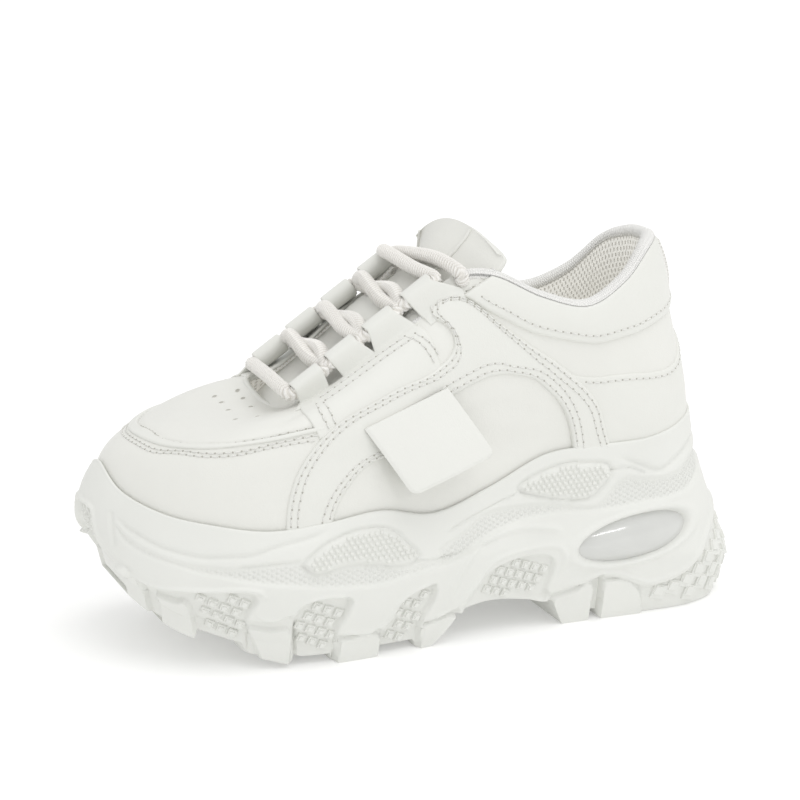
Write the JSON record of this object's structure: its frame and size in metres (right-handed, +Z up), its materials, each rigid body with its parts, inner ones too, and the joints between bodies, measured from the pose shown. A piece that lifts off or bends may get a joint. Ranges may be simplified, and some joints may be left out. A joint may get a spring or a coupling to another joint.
{
  "type": "platform sneaker",
  "caption": "Lace-up sneaker with a tall moulded platform sole, a clear insert in each side of the heel, and a flat tag on its outer side.",
  "frame": {"origin": "on the floor, under the middle of the shoe's bounding box", "axes": "+Z up; -Y towards the toe; +X towards the outer (lateral) side of this left shoe"},
  "size_m": [0.1055, 0.2715, 0.159],
  "materials": {
    "leather": "satin, fine grain",
    "sole": "matte moulded foam rubber",
    "tread": "matte moulded rubber",
    "clear_insert": "glossy, cloudy clear",
    "lining": "knitted mesh",
    "lace": "matte round cord with slanting ribs",
    "webbing": "matte ribbed tape",
    "tag": "satin, smooth"
  },
  "bodies": {
    "root": {"upper": "leather", "midsole": "sole", "air_window_lateral": "clear_insert", "air_window_medial": "clear_insert", "outsole_front": "tread", "outsole_heel": "tread", "insole": "lining", "tongue": "leather", "lace_loop_lateral_1": "leather", "lace_loop_lateral_2": "leather", "lace_loop_lateral_3": "leather", "lace_loop_lateral_4": "leather", "lace_loop_medial_1": "leather", "lace_loop_medial_2": "leather", "lace_loop_medial_3": "leather", "lace_loop_medial_4": "leather", "lace_bar": "lace", "lace_crossing_1": "lace", "lace_crossing_2": "lace", "lace_crossing_3": "lace", "lace_crossing_4": "lace", "side_tag": "tag", "pull_loop": "webbing", "heel_stay": "leather"}
  },
  "joints": []
}
